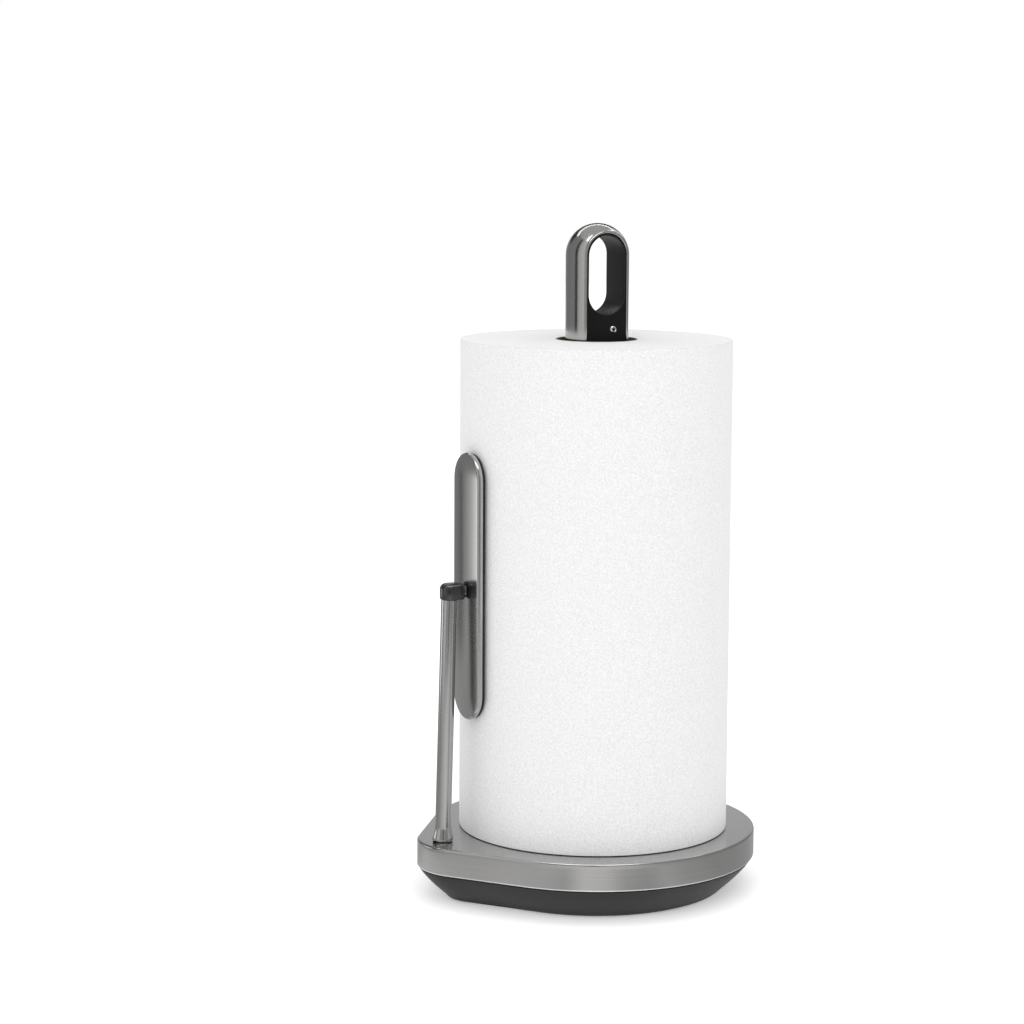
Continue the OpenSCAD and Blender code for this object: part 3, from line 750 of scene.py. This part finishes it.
def make_paper():
    """Outside and ends of the roll, with a slightly uneven side and a loose end at the back."""
    bm = bmesh.new()
    outer_r = paper_high.x
    inner_r = core_high.x + 0.05 * MM
    low_z, high_z = paper_low.z, paper_high.z
    steps = 300
    rows = 110
    end_steps = 26
    edge_steps = 5
    edge = 0.5 * MM
    core_edge = 0.4 * MM
    loose_end = 105  # degrees round from +X
    sheet = 0.15 * MM
    end_dip = 0.15 * MM

    def side_r(i, z):
        t = TAU * i / steps
        turn = ((math.degrees(t) - loose_end) % 360) / 360
        p = Vector((outer_r * math.cos(t), outer_r * math.sin(t), z))
        soft = noise.noise(p * 45) * 0.06 * MM + noise.noise(p * 160) * 0.03 * MM
        return outer_r - 0.1 * MM - sheet * turn + soft

    def ring(z, inset):
        points = []
        for i in range(steps):
            t = TAU * i / steps
            r = side_r(i, z) - inset
            points.append(Vector((r * math.cos(t), r * math.sin(t), z)))
        return add_ring(bm, points)

    def end_ring(z, r, sign):
        points = circle(r, z, steps)
        for i, p in enumerate(points):
            layer = noise.noise(Vector((r * 900, 3 * (TAU * i / steps), sign))) * 0.1 * MM
            p.z = z - sign * (end_dip + layer)
        return add_ring(bm, points)

    end_radii = [inner_r + (outer_r - 1.4 * MM - inner_r) * k / end_steps for k in range(end_steps + 1)]
    rounding = [math.radians(90 * k / edge_steps) for k in range(edge_steps + 1)]
    rings = [add_ring(bm, circle(inner_r, low_z + core_edge, steps))]
    rings += [end_ring(low_z, r, -1) for r in end_radii]
    rings += [ring(low_z + edge * (1 - math.sin(t)), edge * (1 - math.cos(t))) for t in reversed(rounding)]
    rings += [ring(low_z + edge + (high_z - low_z - 2 * edge) * k / rows, 0) for k in range(1, rows)]
    rings += [ring(high_z - edge * (1 - math.sin(t)), edge * (1 - math.cos(t))) for t in rounding]
    rings += [end_ring(high_z, r, 1) for r in reversed(end_radii)]
    rings.append(add_ring(bm, circle(inner_r, high_z - core_edge, steps)))
    skin(bm, rings + [rings[0]])
    bmesh.ops.recalc_face_normals(bm, faces=bm.faces)
    for face in bm.faces:
        centre = face.calc_center_median()
        reach = math.hypot(centre.x, centre.y)
        face.material_index = 1 if abs(face.normal.z) > 0.7 and reach < outer_r - 0.9 * MM else 0
    return finish_piece("roll_paper_wound", bm, [PAPER, PAPER_END], "roll_paper", "paper_roll")


def make_core():
    bm = bmesh.new()
    inner_r, outer_r = CORE_INNER_R, core_high.x
    low_z, high_z = core_low.z, core_high.z
    soft = 0.3 * MM
    profile = [(inner_r, low_z + soft), (inner_r + soft, low_z), (outer_r - soft, low_z),
               (outer_r, low_z + soft), (outer_r, high_z - soft), (outer_r - soft, high_z),
               (inner_r + soft, high_z), (inner_r, high_z - soft)]
    lathe(bm, profile, 120)
    return finish_piece("roll_core_board", bm, [BOARD_PAINTED_SHADE], "roll_core", "cardboard_core")


# ---------------------------------------------------------------- CAD nodes that stay

def dress_cad_nodes():
    slot_of = {row["node"]: row["material_slot"] for row in frame["record"]["subparts"]}
    for name, node in frame["nodes"].items():
        node.data.materials.clear()
        node.data.materials.append(SLOTS[slot_of[name]])


# ---------------------------------------------------------------- stage, light and camera

CAMERA_AZIMUTH = math.radians(29)
CAMERA_DISTANCE = 1.566
CAMERA_ABOVE_PLATE = 0.401
CAMERA_PAN = math.radians(-1.73)
CAMERA_PITCH = math.radians(8.01)
CAMERA_ROLL = math.radians(0.277)
CAMERA_LENS = 97.7
FLOOR_REACH = 6.0
FLOOR_GLOW = 0.3
CARD_REACH = 0.8
CARD_TOP = 1.2
CARD_STEP = 6  # degrees
GROUND_LIFT = 0.5 * MM
GROUND_PARTED = 0.22  # the base's rim mirrors the ground nearer than this, and the tube beyond it


def make_floor():
    """Pale disc that glows a little, so that it reads as white paper."""
    bm = bmesh.new()
    cap(bm, add_ring(bm, circle(FLOOR_REACH, 0, 64)))
    mat, tree, bsdf = new_material("floor_pale", (0.9, 0.9, 0.9), 0.9)
    set_inputs(bsdf, {"Specular IOR Level": 0, "Emission Color": (1, 1, 1, 1),
                      "Emission Strength": FLOOR_GLOW})
    add_object("floor", bm, [mat])


def toward(angle, reach, z):
    """Point at an angle from the camera's side, positive to its right, seen from the column."""
    t = math.radians(angle - 90) - CAMERA_AZIMUTH
    return Vector((reach * math.cos(t), reach * math.sin(t), z))


def reflector(name, stops, near, far, low, high):
    """Ring of card that only polished surfaces see. Its brightness runs through (angle, glow) stops.

    The ring is a wall when near equals far, and lies flat when low equals high."""
    bm = bmesh.new()
    glow_layer = bm.loops.layers.float_color.new("glow")
    for (start, start_glow), (end, end_glow) in zip(stops, stops[1:]):
        steps = math.ceil((end - start) / CARD_STEP)
        for i in range(steps):
            turns = [start + (end - start) * (i + k) / steps for k in (0, 1)]
            glows = [start_glow + (end_glow - start_glow) * (i + k) / steps for k in (0, 1)]
            quad = [toward(turns[0], near, low), toward(turns[1], near, low),
                    toward(turns[1], far, high), toward(turns[0], far, high)]
            face = cap(bm, add_ring(bm, quad))
            for loop, glow in zip(face.loops, (glows[0], glows[1], glows[1], glows[0])):
                loop[glow_layer] = (glow, glow, glow, 1)
    mat = bpy.data.materials.new(name)
    mat.use_nodes = True
    tree = mat.node_tree
    tree.nodes.clear()
    out = tree.nodes.new("ShaderNodeOutputMaterial")
    light = tree.nodes.new("ShaderNodeEmission")
    shade_node = tree.nodes.new("ShaderNodeAttribute")
    shade_node.attribute_name = "glow"
    tree.links.new(shade_node.outputs["Color"], light.inputs["Color"])
    tree.links.new(light.outputs["Emission"], out.inputs["Surface"])
    card = add_object(name, bm, [mat])
    card.visible_camera = False
    card.visible_diffuse = False
    card.visible_transmission = False
    card.visible_shadow = False


def make_reflectors():
    """Light and dark zones at the angles where the steel should show them."""
    wall = [(-150, 0.3), (-138, 0.26), (-88, 0.33), (-86, 0.02), (-76, 0.02), (-74, 0.62), (-42, 0.85),
            (-36, 0.4), (-6, 0.45), (-5, 0.06), (5, 0.06), (6, 0.42), (150, 0.3)]
    reflector("card_wall", wall, CARD_REACH, CARD_REACH, 0, CARD_TOP)
    behind = (("card_back_foot", 0.2, 0, 0.1), ("card_back_low", 0.6, 0.1, 0.29),
              ("card_back_middle", 0.36, 0.29, 0.56))
    for name, glow, low, high in behind:
        reflector(name, [(150, glow), (210, glow)], CARD_REACH, CARD_REACH, low, high)
    reflector("card_back_high", [(160, 0.03), (228, 0.03)], 0.79, 0.79, 0.56, 0.86)
    reflector("card_back_strip", [(130, 3.0), (235, 3.0)], 0.78, 0.78, 0.9, 1.02)
    reflector("card_back_top", [(150, 0.35), (210, 0.35)], CARD_REACH, CARD_REACH, 0.86, CARD_TOP)
    side = [(-150, 0.34), (-126, 0.3), (-125, 0.0), (-121, 0.0), (-120, 0.36), (-108, 0.62), (-104, 1.6),
            (-90, 1.6), (-84, 0.4)]
    reflector("card_side_low", side, 0.78, 0.78, 0, 0.19)
    ground = [(-180, 1.0), (-155, 0.5), (-100, 0.38), (-60, 0.45), (-45, 0.58), (-30, 0.72), (0, 0.95),
              (20, 0.85), (40, 0.55), (75, 0.4), (140, 0.45), (165, 0.8), (180, 1.0)]
    reflector("card_ground", ground, GROUND_PARTED, CARD_REACH, GROUND_LIFT, GROUND_LIFT)
    near = [(-180, 1.0), (-155, 0.5), (-105, 0.5), (-84, 0.8), (-66, 0.75), (-54, 0.7), (-46, 0.64),
            (-39, 0.7), (-33, 0.67), (-24, 0.66), (-14, 0.57), (-4, 0.92), (7, 0.84), (17, 0.56), (28, 0.5),
            (39, 0.63), (51, 0.53), (64, 0.48), (75, 0.43), (140, 0.45), (165, 0.8), (180, 1.0)]
    reflector("card_ground_near", near, 0.1, GROUND_PARTED, GROUND_LIFT, GROUND_LIFT)
    reflector("card_overhead", [(-180, 0.6), (180, 0.6)], 0.02, CARD_REACH, CARD_TOP, CARD_TOP)
    reflector("card_overhead_front", [(-60, 3.4), (60, 3.4)], 0.25, 0.75, CARD_TOP - 0.01, CARD_TOP - 0.01)


def softbox(name, place, target, size, power):
    """Square lamp that faces target."""
    light = bpy.data.lights.new(name, "AREA")
    light.size = size
    light.energy = power
    lamp = bpy.data.objects.new(name, light)
    lamp.location = place
    lamp.rotation_euler = (Vector(target) - Vector(place)).to_track_quat("-Z", "Y").to_euler()
    bpy.context.scene.collection.objects.link(lamp)


def make_world():
    """White light from all round."""
    world = bpy.data.worlds.new("studio")
    world.use_nodes = True
    set_inputs(world.node_tree.nodes["Background"], {"Color": (1, 1, 1, 1), "Strength": 1.0})
    bpy.context.scene.world = world


def make_camera():
    along = Matrix.Rotation(-CAMERA_AZIMUTH, 4, "Z")
    right = Vector((math.cos(CAMERA_PAN), -math.sin(CAMERA_PAN), 0))
    level = Vector((math.sin(CAMERA_PAN), math.cos(CAMERA_PAN), 0))
    forward = level * math.cos(CAMERA_PITCH) - Vector((0, 0, math.sin(CAMERA_PITCH)))
    up = level * math.sin(CAMERA_PITCH) + Vector((0, 0, math.cos(CAMERA_PITCH)))
    turned_right = right * math.cos(CAMERA_ROLL) + up * math.sin(CAMERA_ROLL)
    turned_up = up * math.cos(CAMERA_ROLL) - right * math.sin(CAMERA_ROLL)
    axes = Matrix((turned_right, turned_up, -forward)).transposed().to_4x4()
    place = Matrix.Translation((0, -CAMERA_DISTANCE, PLATE_Z + CAMERA_ABOVE_PLATE))
    data = bpy.data.cameras.new("camera")
    data.sensor_width = 36
    data.lens = CAMERA_LENS
    data.clip_end = 50
    camera = bpy.data.objects.new("camera", data)
    bpy.context.scene.collection.objects.link(camera)
    camera.matrix_world = along @ place @ axes
    bpy.context.scene.camera = camera


make_camera()
dress_cad_nodes()
make_base_cover()
make_housing()
make_band()
make_liner("liner_front", -1, "core_front")
make_liner("liner_rear", 1, "core_rear")
make_liner_screw()
make_post()
make_collar()
make_head()
make_paddle_face()
strip_low = Vector((backing_high.x - BACKING_T, backing_low.y, backing_low.z))
make_paddle_slab("paddle_back_plate", strip_low, backing_high, GRAY, "paddle_backing",
                 edge=0.2 * MM)
make_paddle_slab("paddle_cushion", pad_low, pad_high, PADDLE_RUBBER, "paddle_pad",
                 edge=0.35 * MM)
make_paper()
make_core()
make_floor()
make_reflectors()
make_world()
softbox("key", (-0.9, -1.7, 1.5), (0, 0, 0.15), size=1.8, power=18)
bpy.context.scene.view_settings.view_transform = "Standard"
